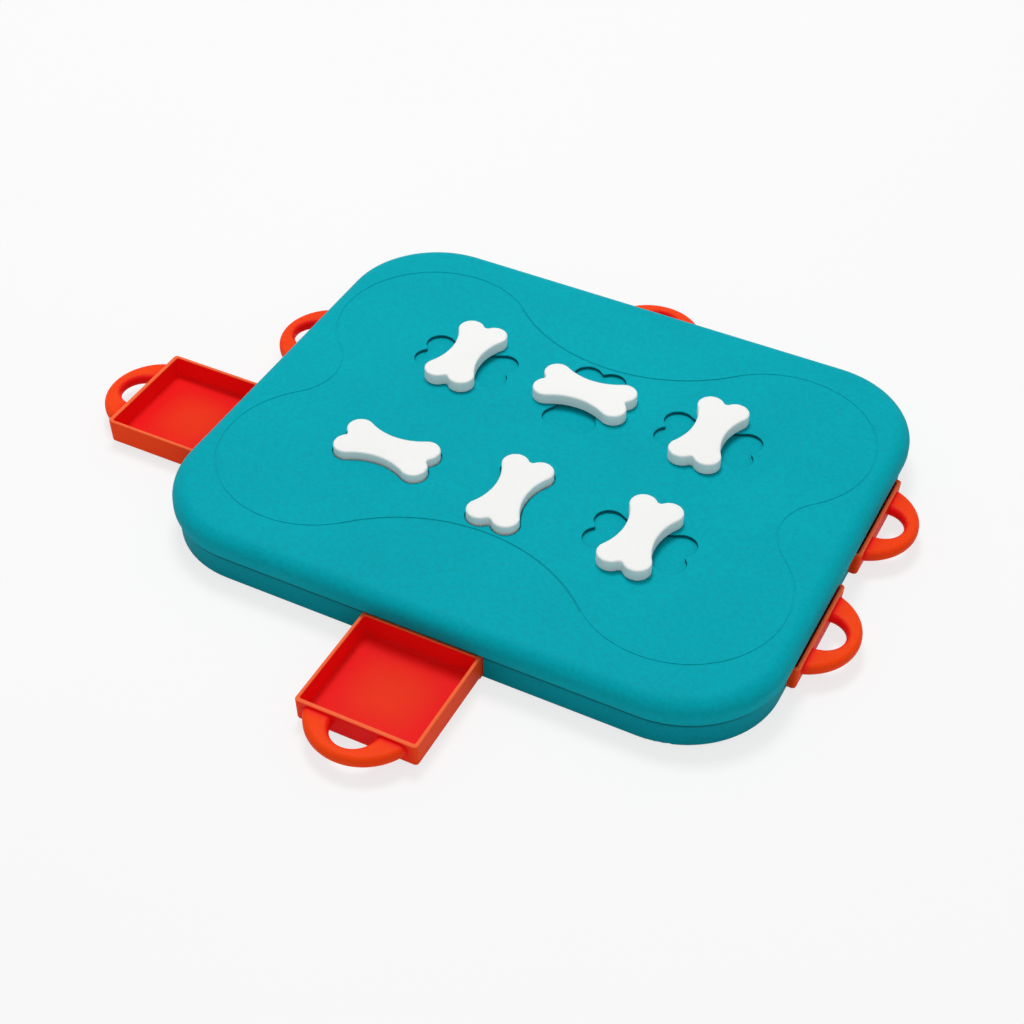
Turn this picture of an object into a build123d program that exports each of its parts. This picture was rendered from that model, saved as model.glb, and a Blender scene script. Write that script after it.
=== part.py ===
from build123d import *

import os
from collections import namedtuple
from math import atan2, cos, degrees, radians, sin

# Puzzle feeder board: two moulded shells hold six treat drawers that slide out of its sides.
# A bone-shaped knob on top turns the lock of each drawer. It stands proud of its pocket while it lies
# across the drawer, and drops into the pocket when it is turned in line.
# X runs along the board, Y to its back, Z up. The origin is under the middle foot, on the floor.

# Board shells
board_length = 360.0
board_width = 300.0
board_height = 32.5
corner_radius = 58.0
parting_height = 18.6
lid_wall = 2.8
lid_edge_radius = 9.5
lid_edge_share = 0.85  # most of the lid's height that its rounded edge may take
lid_foot_radius = 1.6  # the lid's rounded lower edge
base_wall = 3.6
base_floor = 1.5
base_step = 2.0  # the base's rim lies this far inside the lid's edge
base_lean = 1.0  # the base's sides lean in by this from rim to underside
base_edge_radius = 1.5
lip_height = 2.0  # the rim that centres the lid
lip_gap = 0.25

# Shallow moulded line on the lid, in the shape of one large bone
line_lobe_x = 110.0
line_lobe_y = 66.0
line_lobe_radius = 58.0
line_waist = 79.5
line_notch = 139.5
line_width = 1.2
line_depth = 0.3

# Bone knobs and their pockets
knob_lobe_x = 21.2
knob_lobe_y = 7.6
knob_lobe_radius = 7.8
knob_waist = 9.6
knob_notch = 25.5
knob_thickness = 7.4
knob_edge_radius = 1.1
knob_foot_chamfer = 0.4
knob_rest_gap = 0.15
pocket_gap = 0.8
pocket_depth = 2.3
pocket_edge_radius = 0.4
pan_wall = 2.2  # skin around and below each pocket, under the lid

# Lock: hub of the bone, cam below the lid and its screw
bone_row = 47.4  # from the board's middle to each row of bones
hub_radius = 5.0
hub_gap = 0.3
tube_wall = 3.6
shank_side = 6.0
shank_length = 5.5
shank_gap = 0.1
raised_play = 0.7  # what a raised bone can still be lifted
in_line_angle = 0.0
across_angle = 90.0
collar_radius = 7.0
collar_height = 4.0
cam_length = 22.0
cam_width = 9.0
cam_height = 6.0
lock_screw_head_radius = 3.2
lock_screw_head_height = 2.0
lock_screw_radius = 1.4
lock_screw_grip = 8.0  # length of thread in the bone
screw_gap = 0.3
thread_gap = 0.05

# Drawers
drawer_width = 70.0
drawer_inside = 64.8  # length of the treat tray
drawer_front = 2.4  # thickness of the front wall
drawer_wall = 1.9
drawer_floor = 1.8
drawer_travel = 66.0
rim_gap = 1.2  # from the drawer's rim to the lid
rim_radius = 0.5
front_proud = 2.8  # a shut drawer stands this far out of the board's side
front_lean = 1.0  # the front leans back by this towards its foot
front_corner_radius = 2.2
front_foot_radius = 1.6
tray_corner_radius = 1.2
tray_floor_radius = 0.8
side_gap = 0.5
glide_gap = 0.2
stop_gap = 0.2
lug_depth = 1.6  # stop lug on each runner
lug_length = 4.0
guide_wall = 2.0
guide_drop = 2.0  # the guides end this far below the parting line

# Forked tail of each drawer, around its cam
arm_wall = 4.0
arm_drop = 2.2  # from the drawer's rim to the top of the arms
web_gap = 1.0
catch_tooth = 2.6
catch_length = 4.0
catch_play = 3.0
lock_relief = 0.4  # the catches stop this far beside a cam that lies across

# Handle loop of each drawer
handle_half_width = 30.0
handle_reach = 20.5
handle_height = 7.4
handle_drop = 2.0  # from the drawer's rim to the top of the loop
handle_edge_share = 0.43  # of the loop's height, rounded off at its edges
loop_half_width = 12.5
loop_reach = 12.8

# Feet
foot_radius = 8.0
foot_proud = 0.7
foot_recess = 0.6
foot_inset = 62.0
foot_edge_radius = 0.3

# Case screws and their posts
post_radius = 4.5
boss_radius = 5.5
case_screw_radius = 1.7
case_tip_gap = 3.0  # from the tip of a case screw to the lid's underside
case_head_radius = 3.4
case_head_height = 2.4
case_head_depth = 12.0  # from the underside to the seat of the head
post_inset = 34.0
post_spacing = 71.0
side_post_gap = 12.0  # from the stops of the side drawers

# What is left of the two open drawers' travel, and how far the others stand out
front_spare = 1.5
left_spare = 4.0
back_ajar = 2.5
shut = 0.0

overrun = 5.0  # cuts run this far past what they cut

# Half sizes and heights worked out from the sizes above
half_length = board_length / 2
half_width = board_width / 2
base_height = parting_height - foot_proud
lean_angle = degrees(atan2(base_lean, base_height))
lid_height = board_height - parting_height
lid_edge = min(lid_edge_radius, lid_edge_share * lid_height)
floor_top = foot_proud + base_floor
lid_underside = board_height - lid_wall
pocket_floor = board_height - pocket_depth
pan_underside = pocket_floor - pan_wall
pan_half_length = knob_lobe_x + knob_lobe_radius + pocket_gap + pan_wall
pan_half_width = knob_lobe_y + knob_lobe_radius + pocket_gap + pan_wall
knob_raised = board_height + knob_rest_gap
knob_seated = pocket_floor + knob_rest_gap
hub_length = knob_raised - parting_height + raised_play
drawer_bottom = floor_top + glide_gap
drawer_rim = parting_height - rim_gap
arm_rim = drawer_rim - arm_drop
handle_top = drawer_rim - handle_drop
guide_rim = parting_height - guide_drop

# Stations along a shut drawer, outwards from the board's side
lock_reach = half_width - bone_row
wall_inside = base_step + base_lean + base_wall
tray_front = front_proud - drawer_front
tray_back = tray_front - drawer_inside
body_back = tray_back - drawer_wall
lug_front = -(drawer_travel + wall_inside + stop_gap)
runner_back = lug_front - lug_length
stop_front = runner_back - stop_gap
guide_back = stop_front - guide_wall
catch_front = -(lock_reach + cam_width / 2 + catch_play)
fork_back = catch_front - catch_length
web_back = -(lock_reach - cam_length / 2 - web_gap)

# Half widths across a drawer
body_half = drawer_width / 2
tray_half = body_half - drawer_wall
lug_half = body_half + lug_depth
guide_half = lug_half + side_gap
catch_half = cam_length / 2 + lock_relief
arm_half = catch_half + catch_tooth

BoneShape = namedtuple("BoneShape", "lobe_x lobe_y lobe_radius waist notch")
knob_shape = BoneShape(knob_lobe_x, knob_lobe_y, knob_lobe_radius, knob_waist, knob_notch)
line_shape = BoneShape(line_lobe_x, line_lobe_y, line_lobe_radius, line_waist, line_notch)

# One bay is a drawer, the bone that locks it and their places in the shells
Bay = namedtuple("Bay", "name mouth heading pull knob_height knob_turn")
front_pull = drawer_travel - front_spare
left_pull = drawer_travel - left_spare
bays = [
    Bay("front", (0, -half_width), -90, front_pull, knob_seated, in_line_angle),
    Bay("back", (0, half_width), 90, back_ajar, knob_raised, across_angle),
    Bay("left_front", (-half_length, -bone_row), 180, left_pull, knob_seated, in_line_angle),
    Bay("left_back", (-half_length, bone_row), 180, shut, knob_raised, across_angle),
    Bay("right_front", (half_length, -bone_row), 0, shut, knob_raised, across_angle),
    Bay("right_back", (half_length, bone_row), 0, shut, knob_raised, across_angle),
]

outer_post = half_length - post_inset
edge_posts = [
    (x, y * (half_width - post_inset))
    for x in (-outer_post, post_spacing - outer_post, outer_post - post_spacing, outer_post)
    for y in (-1, 1)
]
side_posts = [(x * (half_length + guide_back - side_post_gap), 0) for x in (-1, 1)]
posts = edge_posts + side_posts

feet = [(0, 0)] + [
    (x * (half_length - foot_inset), y * (half_width - foot_inset)) for x in (-1, 1) for y in (-1, 1)
]


def bay_plane(bay, along, height, turn=0):
    """Plane on a bay's centre line, with its X axis pointing out of the mouth before it is turned."""
    out = Vector(cos(radians(bay.heading)), sin(radians(bay.heading)), 0)
    origin = Vector(*bay.mouth, height) + out * along
    return Plane(origin, x_dir=out.rotate(Axis.Z, turn), z_dir=(0, 0, 1))


def lock_plane(bay, height, turn=0):
    """Plane square to the axis of a bay's bone."""
    return bay_plane(bay, -lock_reach, height, turn)


def board_outline(inset):
    """Plan of the board, drawn in by inset all round."""
    RectangleRounded(board_length - 2 * inset, board_width - 2 * inset, corner_radius - inset)


def bone_face(shape, grow=0.0):
    """Bone along X: four round lobes joined by hollow sides and ends, every arc tangent to the next."""
    side_rise = shape.waist - shape.lobe_y
    end_rise = shape.notch - shape.lobe_x
    side_span = shape.lobe_x**2 + side_rise**2 - shape.lobe_radius**2
    end_span = shape.lobe_y**2 + end_rise**2 - shape.lobe_radius**2
    side_radius = side_span / (2 * (shape.lobe_radius - side_rise))
    end_radius = end_span / (2 * (shape.lobe_radius - end_rise))
    lobe = Vector(shape.lobe_x, shape.lobe_y)
    towards_side = (Vector(0, shape.waist + side_radius) - lobe).normalized()
    towards_end = (Vector(shape.notch + end_radius, 0) - lobe).normalized()
    lobe_start = lobe + towards_side * (shape.lobe_radius + grow)
    lobe_end = lobe + towards_end * (shape.lobe_radius + grow)
    with BuildSketch() as face:
        with BuildLine():
            side = TangentArc((0, shape.waist + grow), lobe_start, tangent=(1, 0))
            round_lobe = TangentArc(lobe_start, lobe_end, tangent=side % 1)
            TangentArc(lobe_end, (shape.notch + grow, 0), tangent=round_lobe % 1)
            mirror(about=Plane.YZ)
            mirror(about=Plane.XZ)
        make_face()
    return face.sketch


def strip(start, end, inner, outer):
    """A pair of strips along X, one each side of the centre line."""
    for side in (-1, 1):
        with Locations(((start + end) / 2, side * (inner + outer) / 2)):
            Rectangle(abs(end - start), outer - inner)


def save(part, name):
    part.label = name
    export_step(part, f"parts/{name}.step")


os.makedirs("parts", exist_ok=True)

# Base tray: a tub with a mouth for each drawer, guides, screw bosses and recesses for the feet
with BuildPart() as base_tray:
    with BuildSketch(Plane.XY.offset(foot_proud)):
        board_outline(base_step + base_lean)
    extrude(amount=base_height, taper=-lean_angle)
    fillet(base_tray.faces().sort_by(Axis.Z)[0].edges(), base_edge_radius)
    with BuildSketch(Plane.XY.offset(parting_height)):
        board_outline(lid_wall + lip_gap)
    extrude(amount=lip_height)
    with BuildSketch(Plane.XY.offset(floor_top)):
        board_outline(wall_inside - base_lean * base_floor / base_height)
    extrude(amount=parting_height - floor_top, taper=-lean_angle, mode=Mode.SUBTRACT)
    with BuildSketch(Plane.XY.offset(parting_height)):
        board_outline(base_step + base_wall)
    extrude(amount=lip_height, mode=Mode.SUBTRACT)
    for bay in bays:
        with BuildSketch(bay_plane(bay, 0, floor_top)):
            strip(-base_wall, guide_back, guide_half, guide_half + guide_wall)
            strip(stop_front, guide_back, tray_half, guide_half + guide_wall)
        extrude(amount=guide_rim - floor_top)
        with BuildSketch(bay_plane(bay, 0, floor_top)):
            Rectangle(2 * (wall_inside + overrun), drawer_width + 2 * side_gap)
        extrude(amount=board_height - floor_top, mode=Mode.SUBTRACT)
    with BuildSketch(Plane.XY.offset(floor_top)):
        with Locations(*posts):
            Circle(boss_radius)
    extrude(amount=parting_height - floor_top)
    with Locations(Plane.XY.offset(foot_proud)):
        with Locations(*[Location((*post, 0), (180, 0, 0)) for post in posts]):
            CounterBoreHole(
                case_screw_radius + screw_gap, case_head_radius + screw_gap, case_head_depth, board_height
            )
    with BuildSketch(Plane.XY.offset(foot_proud)):
        with Locations(*feet):
            Circle(foot_radius)
    extrude(amount=foot_recess, mode=Mode.SUBTRACT)
save(base_tray.part, "base_tray")

# Top lid: a rounded shell with bone pockets, a tube under each pocket and posts for the screws
with BuildPart() as top_lid:
    with BuildSketch(Plane.XY.offset(parting_height)):
        board_outline(0)
    extrude(amount=lid_height)
    fillet(top_lid.faces().sort_by(Axis.Z)[-1].edges(), lid_edge)
    offset(amount=-lid_wall, openings=top_lid.faces().sort_by(Axis.Z)[0])
    fillet(top_lid.faces().sort_by(Axis.Z)[0].outer_wire().edges(), lid_foot_radius)
    for bay in bays:
        with BuildSketch(lock_plane(bay, pan_underside)):
            RectangleRounded(2 * pan_half_length, 2 * pan_half_width, knob_lobe_radius)
        extrude(amount=lid_underside - pan_underside)
        with BuildSketch(lock_plane(bay, parting_height)):
            Circle(hub_radius + hub_gap + tube_wall)
        extrude(amount=pan_underside - parting_height)
    with BuildSketch(Plane.XY.offset(parting_height)):
        with Locations(*posts):
            Circle(post_radius)
    extrude(amount=lid_underside - parting_height)
    for bay in bays:
        with BuildSketch(lock_plane(bay, board_height)):
            add(bone_face(knob_shape, pocket_gap))
        extrude(amount=-pocket_depth, mode=Mode.SUBTRACT)
        with BuildSketch(lock_plane(bay, parting_height)):
            Circle(hub_radius + hub_gap)
        extrude(amount=lid_height, mode=Mode.SUBTRACT)
    lid_top = top_lid.faces().sort_by(Axis.Z)[-1]
    pocket_edges = [edge for wire in lid_top.inner_wires() for edge in wire.edges()]
    fillet(pocket_edges, pocket_edge_radius)
    with BuildSketch(Plane.XY.offset(parting_height)):
        with Locations(*posts):
            Circle(case_screw_radius + thread_gap)
    extrude(amount=lid_underside - parting_height, mode=Mode.SUBTRACT)
    with BuildSketch(Plane.XY.offset(board_height)):
        add(bone_face(line_shape, line_width / 2))
        add(bone_face(line_shape, -line_width / 2), mode=Mode.SUBTRACT)
    extrude(amount=-line_depth, mode=Mode.SUBTRACT)
save(top_lid.part, "top_lid")

# Handle loop, thick at its roots and slim at its tip
with BuildPart() as handle_form:
    with BuildSketch(Plane.XY.offset(handle_top - handle_height)):
        with BuildLine():
            root = front_proud - drawer_front / 2
            bow = ThreePointArc(
                (root, handle_half_width), (front_proud + handle_reach, 0), (root, -handle_half_width)
            )
            loop = ThreePointArc(
                (root, loop_half_width), (front_proud + loop_reach, 0), (root, -loop_half_width)
            )
            Line(bow @ 0, loop @ 0)
            Line(bow @ 1, loop @ 1)
        make_face()
    extrude(amount=handle_height)
    fillet(handle_form.edges().filter_by(GeomType.CIRCLE), handle_edge_share * handle_height)

# Drawer, drawn shut, with the board's side at the origin and the way out along X
with BuildPart() as drawer_form:
    with BuildSketch(Plane.XZ.offset(-body_half)):
        with BuildLine():
            Polyline(
                (body_back, drawer_bottom),
                (front_proud - front_lean, drawer_bottom),
                (front_proud, drawer_rim),
                (body_back, drawer_rim),
                close=True,
            )
        make_face()
    extrude(amount=drawer_width)
    fillet(drawer_form.faces().sort_by(Axis.X)[-1].edges().sort_by(Axis.Z)[1:3], front_corner_radius)
    fillet(drawer_form.faces().sort_by(Axis.Z)[0].edges(), front_foot_radius)
    with BuildSketch(Plane.XY.offset(drawer_bottom + drawer_floor)):
        with Locations(((tray_front + tray_back) / 2, 0)):
            RectangleRounded(drawer_inside, 2 * tray_half, tray_corner_radius)
    extrude(amount=drawer_rim, mode=Mode.SUBTRACT)
    fillet(drawer_form.faces().sort_by(Axis.Z)[-1].edges(), rim_radius)
    tray_floor = drawer_form.faces().filter_by_position(
        Axis.Z, drawer_bottom + drawer_floor, drawer_bottom + drawer_floor
    )
    fillet(tray_floor.edges(), tray_floor_radius)
    with BuildSketch(Plane.XY.offset(drawer_bottom)):
        strip(tray_back, runner_back, tray_half, body_half)
        strip(lug_front, runner_back, body_half, lug_half)
    extrude(amount=drawer_rim - drawer_bottom - rim_radius)
    with BuildSketch(Plane.XY.offset(drawer_bottom)):
        with Locations(((tray_back + runner_back) / 2, 0)):
            Rectangle(tray_back - runner_back, drawer_width)
        with Locations(((tray_back + web_back) / 2, 0)):
            Rectangle(tray_back - web_back, 2 * arm_half)
    extrude(amount=drawer_floor)
    with BuildSketch(Plane.XY.offset(drawer_bottom)):
        strip(body_back, fork_back, arm_half, arm_half + arm_wall)
        strip(catch_front, fork_back, catch_half, arm_half)
    extrude(amount=arm_rim - drawer_bottom)
    add(handle_form.part)

# Bone knob with its hub and keyed shank, drawn with the foot of the bone at the origin
with BuildPart() as knob_form:
    with BuildSketch():
        add(bone_face(knob_shape))
    extrude(amount=knob_thickness)
    fillet(knob_form.faces().sort_by(Axis.Z)[-1].edges(), knob_edge_radius)
    chamfer(knob_form.faces().sort_by(Axis.Z)[0].edges(), knob_foot_chamfer)
    with BuildSketch():
        Circle(hub_radius)
    extrude(amount=-hub_length)
    with BuildSketch(Plane.XY.offset(-hub_length)):
        Rectangle(shank_side, shank_side)
    extrude(amount=-shank_length)
    with BuildSketch(Plane.XY.offset(-hub_length - shank_length)):
        Circle(lock_screw_radius + thread_gap)
    extrude(amount=lock_screw_grip, mode=Mode.SUBTRACT)

# Lock cam: a collar that stops against the lid's tube, over a bar that turns in the drawer's fork
cam_bottom = -hub_length - collar_height - cam_height
with BuildPart() as cam_form:
    with BuildSketch(Plane.XY.offset(-hub_length)):
        Circle(collar_radius)
    extrude(amount=-collar_height)
    with BuildSketch(Plane.XY.offset(cam_bottom)):
        SlotOverall(cam_length, cam_width)
    extrude(amount=cam_height)
    with BuildSketch(Plane.XY.offset(-hub_length)):
        Rectangle(shank_side + 2 * shank_gap, shank_side + 2 * shank_gap)
    extrude(amount=-shank_length, mode=Mode.SUBTRACT)
    with BuildSketch(Plane.XY.offset(cam_bottom)):
        Circle(lock_screw_radius + screw_gap)
    extrude(amount=cam_height, mode=Mode.SUBTRACT)
    with BuildSketch(Plane.XY.offset(cam_bottom)):
        Circle(lock_screw_head_radius + screw_gap)
    extrude(amount=lock_screw_head_height, mode=Mode.SUBTRACT)

# Screw that holds the cam on the bone
lock_screw_shaft = collar_height + cam_height - lock_screw_head_height - shank_length + lock_screw_grip
with BuildPart() as lock_screw_form:
    with BuildSketch(Plane.XY.offset(cam_bottom)):
        Circle(lock_screw_head_radius)
    extrude(amount=lock_screw_head_height)
    with BuildSketch(Plane.XY.offset(cam_bottom + lock_screw_head_height)):
        Circle(lock_screw_radius)
    extrude(amount=lock_screw_shaft)

# The pieces of each bay, in their places
for bay in bays:
    with BuildPart() as drawer:
        with Locations(bay_plane(bay, bay.pull, 0).location):
            add(drawer_form.part)
    save(drawer.part, f"drawer_{bay.name}")
    lock_place = lock_plane(bay, bay.knob_height, bay.knob_turn).location
    for form, piece_name in ((knob_form, "bone"), (cam_form, "lock_cam"), (lock_screw_form, "lock_screw")):
        with BuildPart() as lock_piece:
            with Locations(lock_place):
                add(form.part)
        save(lock_piece.part, f"{piece_name}_{bay.name}")

# Rubber feet in their recesses
with BuildPart() as rubber_feet:
    with BuildSketch():
        with Locations(*feet):
            Circle(foot_radius)
    extrude(amount=foot_proud + foot_recess)
    fillet(rubber_feet.faces().group_by(Axis.Z)[0].edges(), foot_edge_radius)
save(rubber_feet.part, "rubber_feet")

# Screws that pull the lid down on the base
head_seat = foot_proud + case_head_depth
case_screw_length = lid_underside - case_tip_gap - head_seat
with BuildPart() as case_screws:
    with BuildSketch(Plane.XY.offset(head_seat)):
        with Locations(*posts):
            Circle(case_head_radius)
    extrude(amount=-case_head_height)
    with BuildSketch(Plane.XY.offset(head_seat)):
        with Locations(*posts):
            Circle(case_screw_radius)
    extrude(amount=case_screw_length)
save(case_screws.part, "case_screws")
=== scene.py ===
import math

import bpy
from mathutils import Euler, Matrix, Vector


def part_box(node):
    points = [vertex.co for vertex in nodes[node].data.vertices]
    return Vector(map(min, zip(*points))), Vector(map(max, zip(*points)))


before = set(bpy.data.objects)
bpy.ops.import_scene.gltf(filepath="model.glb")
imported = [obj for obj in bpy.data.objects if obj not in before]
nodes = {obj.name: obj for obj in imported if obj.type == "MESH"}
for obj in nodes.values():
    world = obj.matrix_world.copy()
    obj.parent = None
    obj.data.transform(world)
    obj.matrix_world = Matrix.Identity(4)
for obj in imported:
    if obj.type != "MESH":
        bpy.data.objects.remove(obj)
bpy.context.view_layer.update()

# Heights on the board, from its pieces, and the reach of its pockets, in metres
lid_low, lid_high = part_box("top_lid")
parting = lid_low.z  # seam between base and lid
lid_top = lid_high.z
rim_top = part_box("drawer_front")[1].z
pocket_depth = 0.0023
pocket_floor = lid_top - pocket_depth
pocket_reach = 0.130  # no pocket lies further from the board's middle
pocket_margin = 0.001  # the pockets' painted shade fades out over this

# How colour and grain vary on all plastics
patch_scale = 14.0
patch_detail = 3.0
patch_range = (0.32, 0.68)
grain_detail = 4.0
grain_roughness = 0.6
grain_strength = 0.5
fleck_range = (0.35, 0.62)
fleck_grey = 0.72
middle_range = (0.3, 0.7)  # where most values of a noise texture lie
plastic_ior = 1.46

# What the measure of a place counts: its height, or its reach from the board's middle
axes = {"height": (0, 0, 1), "reach": (1, 1, 0)}


def grey(level):
    return (level, level, level)


def new_material(name):
    """An empty node material with a Principled shader joined to its output."""
    material = bpy.data.materials.new(name)
    material.use_nodes = True
    tree = material.node_tree
    tree.nodes.clear()
    output = tree.nodes.new("ShaderNodeOutputMaterial")
    shader = tree.nodes.new("ShaderNodeBsdfPrincipled")
    tree.links.new(shader.outputs["BSDF"], output.inputs["Surface"])
    return material, tree, shader


def node_of(tree, kind):
    """The first node of a kind."""
    return next(node for node in tree.nodes if node.type == kind)


def noise(tree, scale, detail, roughness=0.5, stretch=None):
    """A noise texture in the piece's own frame, in metres, so that it is the same size on every piece."""
    place = tree.nodes.new("ShaderNodeTexCoord")
    texture = tree.nodes.new("ShaderNodeTexNoise")
    texture.inputs["Scale"].default_value = scale
    texture.inputs["Detail"].default_value = detail
    texture.inputs["Roughness"].default_value = roughness
    source = place.outputs["Object"]
    if stretch:
        mapping = tree.nodes.new("ShaderNodeMapping")
        mapping.inputs["Scale"].default_value = stretch
        tree.links.new(source, mapping.inputs["Vector"])
        source = mapping.outputs["Vector"]
    tree.links.new(source, texture.inputs["Vector"])
    return texture.outputs["Fac"]


def ramp(tree, source, places, tones):
    """Colours from the first tone at the first place to the second tone at the second place."""
    node = tree.nodes.new("ShaderNodeValToRGB")
    for stop, place, tone in zip(node.color_ramp.elements, places, tones):
        stop.position = place
        stop.color = (*tone, 1)
    tree.links.new(source, node.inputs["Fac"])
    return node.outputs["Color"]


def spread(tree, source, from_range, to_range):
    """Values of one range moved to another, and held at its ends."""
    node = tree.nodes.new("ShaderNodeMapRange")
    node.inputs["From Min"].default_value, node.inputs["From Max"].default_value = from_range
    node.inputs["To Min"].default_value, node.inputs["To Max"].default_value = to_range
    tree.links.new(source, node.inputs["Value"])
    return node.outputs["Result"]


def combine(tree, operation, first, second):
    """Two values multiplied, or the larger of them."""
    node = tree.nodes.new("ShaderNodeMath")
    node.operation = operation
    tree.links.new(first, node.inputs[0])
    tree.links.new(second, node.inputs[1])
    return node.outputs["Value"]


def bump(tree, shader, source, strength, distance):
    """Fine relief, raised where the values of the source are high."""
    node = tree.nodes.new("ShaderNodeBump")
    node.inputs["Strength"].default_value = strength
    node.inputs["Distance"].default_value = distance
    tree.links.new(source, node.inputs["Height"])
    tree.links.new(node.outputs["Normal"], shader.inputs["Normal"])


def blend_colours(tree, below, above, share):
    """Two colours multiplied together, the second by the given share."""
    node = tree.nodes.new("ShaderNodeMix")
    node.data_type = "RGBA"
    node.blend_type = "MULTIPLY"
    node.inputs["Factor"].default_value = share
    tree.links.new(below, node.inputs["A"])
    tree.links.new(above, node.inputs["B"])
    return node.outputs["Result"]


def heights(level, start, full):
    """A range of heights, given as distances above a level."""
    return ("height", level + start, level + full)


def place_share(tree, along, start, full):
    """Zero at start and one from full on, by height or by reach, in metres."""
    place = tree.nodes.new("ShaderNodeTexCoord")
    pick = tree.nodes.new("ShaderNodeVectorMath")
    pick.operation = "MULTIPLY"
    pick.inputs[1].default_value = axes[along]
    measure = tree.nodes.new("ShaderNodeVectorMath")
    measure.operation = "LENGTH"
    tree.links.new(place.outputs["Object"], pick.inputs[0])
    tree.links.new(pick.outputs["Vector"], measure.inputs[0])
    return spread(tree, measure.outputs["Value"], (start, full), (0, 1))


def tint(material, tone, share):
    """Turn a plastic's colour to the tone where the share is one."""
    tree = material.node_tree
    shader = node_of(tree, "BSDF_PRINCIPLED")
    node = tree.nodes.new("ShaderNodeMix")
    node.data_type = "RGBA"
    node.inputs["B"].default_value = (*tone, 1)
    tree.links.new(share, node.inputs["Factor"])
    tree.links.new(shader.inputs["Base Color"].links[0].from_socket, node.inputs["A"])
    tree.links.new(node.outputs["Result"], shader.inputs["Base Color"])


def shade(material, tone, *ranges):
    """Tint a plastic where the shares of all the ranges are one."""
    tree = material.node_tree
    share = place_share(tree, *ranges[0])
    for extra in ranges[1:]:
        share = combine(tree, "MULTIPLY", share, place_share(tree, *extra))
    tint(material, tone, share)


def paint_shade_in_hollows(material, tone, reach, openness):
    """Paint shade on a plastic in its piece's own hollows, found by ambient occlusion: none at the first
    openness and full at the second.
    """
    tree = material.node_tree
    hollow = tree.nodes.new("ShaderNodeAmbientOcclusion")
    hollow.only_local = True
    hollow.inputs["Distance"].default_value = reach
    tint(material, tone, spread(tree, hollow.outputs["AO"], openness, (0, 1)))


def milky(material, weight, radius, reach):
    """Let light wander below the surface, so that a thin or shaded side glows in the plastic's colour."""
    shader = node_of(material.node_tree, "BSDF_PRINCIPLED")
    shader.inputs["Subsurface Weight"].default_value = weight
    shader.inputs["Subsurface Radius"].default_value = radius
    shader.inputs["Subsurface Scale"].default_value = reach


def plastic(name, dark, light, rough, shine, grain_scale, grain_depth, fleck=0.3):
    """Moulded plastic: patches of slightly uneven colour under a spark-eroded grain of fine flecks."""
    material, tree, shader = new_material(name)
    patches = noise(tree, patch_scale, patch_detail)
    grain = noise(tree, grain_scale, grain_detail, grain_roughness)
    colour = ramp(tree, patches, patch_range, (dark, light))
    flecks = ramp(tree, grain, fleck_range, (grey(fleck_grey), grey(1.0)))
    tree.links.new(blend_colours(tree, colour, flecks, fleck), shader.inputs["Base Color"])
    tree.links.new(spread(tree, grain, middle_range, rough), shader.inputs["Roughness"])
    shader.inputs["IOR"].default_value = plastic_ior
    shader.inputs["Specular IOR Level"].default_value = shine
    bump(tree, shader, grain, grain_strength, grain_depth)
    return material


def steel(name, dark, light, rough, mark_scale, mark_stretch, mark_strength, mark_depth):
    """Zinc-plated steel with fine turning marks."""
    material, tree, shader = new_material(name)
    marks = noise(tree, mark_scale, patch_detail, grain_roughness, mark_stretch)
    tree.links.new(ramp(tree, marks, middle_range, (dark, light)), shader.inputs["Base Color"])
    shader.inputs["Metallic"].default_value = 1.0
    tree.links.new(spread(tree, marks, middle_range, rough), shader.inputs["Roughness"])
    bump(tree, shader, marks, mark_strength, mark_depth)
    return material


teal = plastic(
    "teal_shell", dark=(0.0, 0.385, 0.460), light=(0.0, 0.413, 0.492), rough=(0.55, 0.7), shine=0.05,
    grain_scale=420.0, grain_depth=0.00025, fleck=0.4,
)
# painted shade: the base is a darker copy of the shell's teal, standing in for the shade on its sides
base = plastic(
    "teal_base_painted_shade", dark=(0.0, 0.300, 0.365), light=(0.0, 0.325, 0.395), rough=(0.55, 0.7), shine=0.05,
    grain_scale=420.0, grain_depth=0.00025, fleck=0.4,
)
orange = plastic(
    "orange_drawer", dark=(0.95, 0.052, 0.002), light=(1.0, 0.066, 0.003), rough=(0.46, 0.58), shine=0.10,
    grain_scale=1400.0, grain_depth=0.00005, fleck=0.12,
)
white = plastic(
    "white_bone", dark=(0.90, 0.905, 0.88), light=(0.93, 0.935, 0.91), rough=(0.42, 0.54), shine=0.25,
    grain_scale=1200.0, grain_depth=0.00006, fleck=0.08,
)
inner = plastic(
    "lock_plastic", dark=(0.50, 0.51, 0.50), light=(0.56, 0.57, 0.56), rough=(0.4, 0.5), shine=0.4,
    grain_scale=1200.0, grain_depth=0.00006,
)
rubber = plastic(
    "foot_rubber", dark=(0.018, 0.018, 0.019), light=(0.03, 0.03, 0.031), rough=(0.75, 0.9), shine=0.3,
    grain_scale=1100.0, grain_depth=0.0001,
)
zinc = steel(
    "screw_steel", dark=(0.42, 0.43, 0.45), light=(0.62, 0.63, 0.65), rough=(0.28, 0.42),
    mark_scale=900.0, mark_stretch=(1, 1, 6), mark_strength=0.3, mark_depth=0.00005,
)
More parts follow.
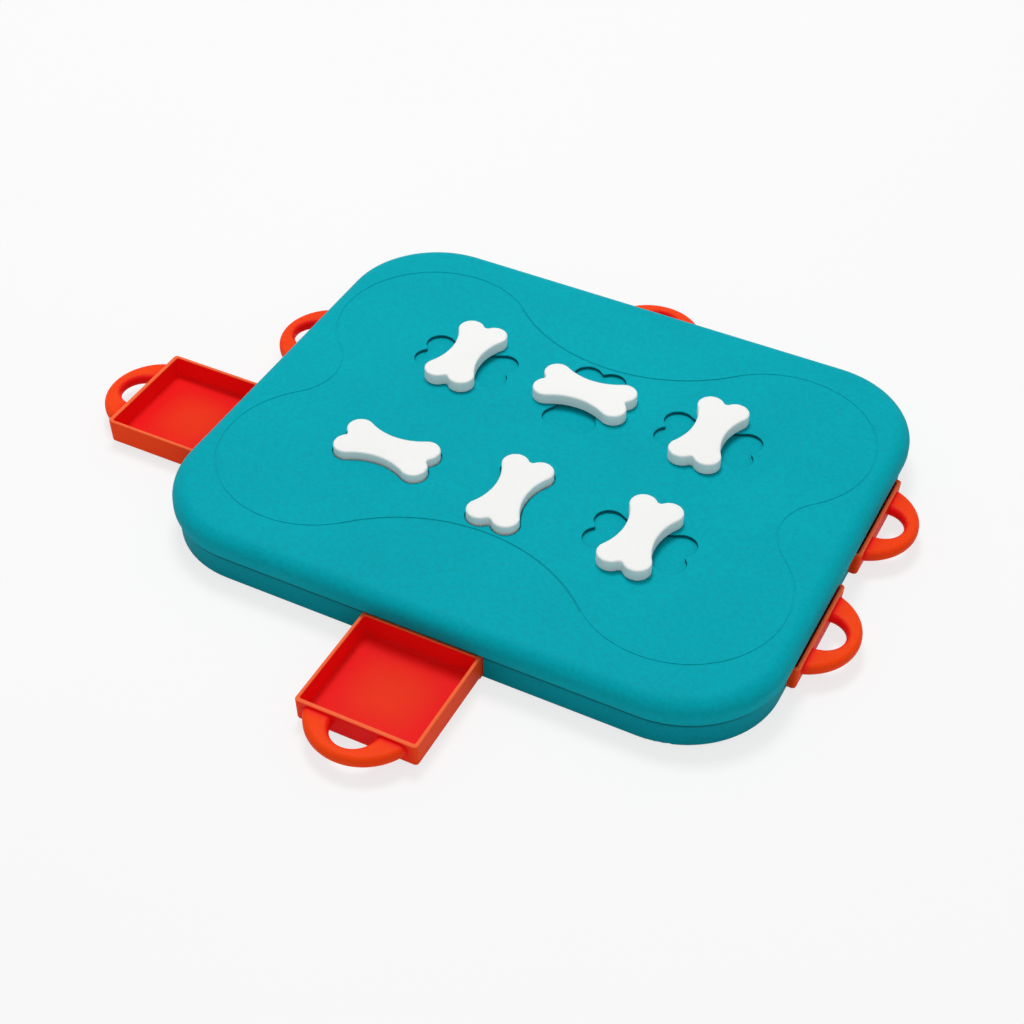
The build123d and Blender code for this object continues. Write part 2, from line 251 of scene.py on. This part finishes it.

# Painted shade and a painted highlight: a dark band on the base just below the seam, dark walls in the
# lid's pockets and a deeper, darker red in the drawers' own hollows are painted shade; the drawers' pale
# rims are a painted highlight
# painted shade: the base is darkened in a band just below the seam, where the lid's overhang shades it
seam_painted_shade = (0.0, 0.140, 0.172)
seam_shade_band = heights(parting, start=-0.0036, full=-0.0020)
shade(base, seam_painted_shade, seam_shade_band)
# painted shade: the walls of the lid's pockets are darkened as if in their own shadow
pocket_painted_shade = (0.0, 0.110, 0.135)
above_pocket_floor = heights(pocket_floor, start=0.0001, full=0.0003)
below_lid_top = heights(lid_top, start=-0.0002, full=-0.0006)
within_pockets = ("reach", pocket_reach + pocket_margin, pocket_reach)
shade(teal, pocket_painted_shade, above_pocket_floor, below_lid_top, within_pockets)
# painted shade: the drawers' insides turn a darker, deeper red where their own walls close them in
hollow_painted_shade = (0.90, 0.008, 0.008)
paint_shade_in_hollows(orange, hollow_painted_shade, reach=0.06, openness=(0.98, 0.78))
# painted highlight: the top of each drawer's rim is turned pale orange, as if catching the light
rim_painted_highlight = (1.0, 0.150, 0.046)
rim_highlight_band = heights(rim_top, start=-0.0007, full=-0.0002)
shade(orange, rim_painted_highlight, rim_highlight_band)

# Thin orange and white plastic lets a little light through
milky(white, weight=0.35, radius=(1.0, 1.0, 1.0), reach=0.005)
milky(orange, weight=0.35, radius=(1.0, 0.35, 0.15), reach=0.006)

# Each piece takes the finish that the start of its name gives
finishes = {
    "base_tray": base, "top_lid": teal, "drawer": orange, "bone": white, "lock_cam": inner,
    "lock_screw": zinc, "case_screws": zinc, "rubber_feet": rubber,
}
for name, piece in nodes.items():
    finish = next(material for start, material in finishes.items() if name.startswith(start))
    piece.data.materials.clear()
    piece.data.materials.append(finish)


def seen_directly(tree):
    """One for rays that show the background: from the camera, off a gloss or through something clear."""
    path = tree.nodes.new("ShaderNodeLightPath")
    total = path.outputs["Is Camera Ray"]
    for ray in ("Is Glossy Ray", "Is Transmission Ray"):
        total = combine(tree, "MAXIMUM", total, path.outputs[ray])
    return total


def white_light(tree, kind, strength):
    """An Emission or Background shader of plain white."""
    node = tree.nodes.new(kind)
    node.inputs["Color"].default_value = (1, 1, 1, 1)
    node.inputs["Strength"].default_value = strength
    return node.outputs[0]


def mix_shaders(tree, share, first, second):
    """The first shader where the share is zero, and the second where it is one."""
    mix = tree.nodes.new("ShaderNodeMixShader")
    tree.links.new(share, mix.inputs["Fac"])
    tree.links.new(first, mix.inputs[1])
    tree.links.new(second, mix.inputs[2])
    return mix.outputs["Shader"]


# Floor: pale paper, lifted towards white where it is seen directly: partly near the board, whose
# shadow stays, and wholly far away, where it meets the white room
floor_half = 6.0
paper_greys = (0.84, 0.86)
paper_scale = 3.0
paper_detail = 2.0
lift_near = 0.75
lift_far = 1.0
lift_reach = (0.45, 1.6)  # from the near lift to the far one
corners = [(x * floor_half, y * floor_half, 0) for x, y in ((-1, -1), (1, -1), (1, 1), (-1, 1))]
floor_mesh = bpy.data.meshes.new("floor")
floor_mesh.from_pydata(corners, [], [(0, 1, 2, 3)])
floor = bpy.data.objects.new("floor", floor_mesh)
bpy.context.scene.collection.objects.link(floor)
paper, paper_tree, paper_shader = new_material("floor_paper")
paper_mottle = noise(paper_tree, paper_scale, paper_detail)
paper_colour = ramp(paper_tree, paper_mottle, middle_range, [grey(level) for level in paper_greys])
paper_tree.links.new(paper_colour, paper_shader.inputs["Base Color"])
paper_shader.inputs["Roughness"].default_value = 0.9
paper_shader.inputs["Specular IOR Level"].default_value = 0.1
far_share = place_share(paper_tree, "reach", *lift_reach)
full_lift = spread(paper_tree, far_share, (0, 1), (lift_near, lift_far))
lift = combine(paper_tree, "MULTIPLY", seen_directly(paper_tree), full_lift)
paper_white = white_light(paper_tree, "ShaderNodeEmission", strength=1.0)
paper_mix = mix_shaders(paper_tree, lift, paper_shader.outputs["BSDF"], paper_white)
paper_tree.links.new(paper_mix, node_of(paper_tree, "OUTPUT_MATERIAL").inputs["Surface"])
floor_mesh.materials.append(paper)

# Soft room light, white behind the object
world = bpy.data.worlds.new("room")
world.use_nodes = True
bpy.context.scene.world = world
world_tree = world.node_tree
world_tree.nodes.clear()
world_output = world_tree.nodes.new("ShaderNodeOutputWorld")
ambient = white_light(world_tree, "ShaderNodeBackground", strength=0.42)
backdrop = white_light(world_tree, "ShaderNodeBackground", strength=1.0)
room = mix_shaders(world_tree, seen_directly(world_tree), ambient, backdrop)
world_tree.links.new(room, world_output.inputs["Surface"])


def soft_box(name, place, size, watts):
    """A square lamp at place, facing the board's middle."""
    lamp = bpy.data.lights.new(name, "AREA")
    lamp.shape = "SQUARE"
    lamp.size = size
    lamp.energy = watts
    holder = bpy.data.objects.new(name, lamp)
    holder.location = place
    holder.rotation_euler = (-Vector(place)).to_track_quat("-Z", "Y").to_euler()
    bpy.context.scene.collection.objects.link(holder)


soft_box("key", place=(-0.35, 0.45, 1.80), size=0.6, watts=20.0)
soft_box("fill", place=(0.95, -1.15, 1.0), size=1.2, watts=2.0)

# Camera at the photo's angle
camera_place = (0.34311, -0.74156, 0.73100)
camera_turn = (47.4767, -0.7311, 26.8981)  # degrees
camera = bpy.data.cameras.new("camera")
camera.sensor_width = 36.0
camera.lens = 67.12
camera.clip_start = 0.05
camera.clip_end = 50.0
viewer = bpy.data.objects.new("camera", camera)
viewer.location = camera_place
viewer.rotation_euler = Euler([math.radians(angle) for angle in camera_turn], "XYZ")
bpy.context.scene.collection.objects.link(viewer)
bpy.context.scene.camera = viewer

bpy.context.scene.view_settings.view_transform = "Standard"
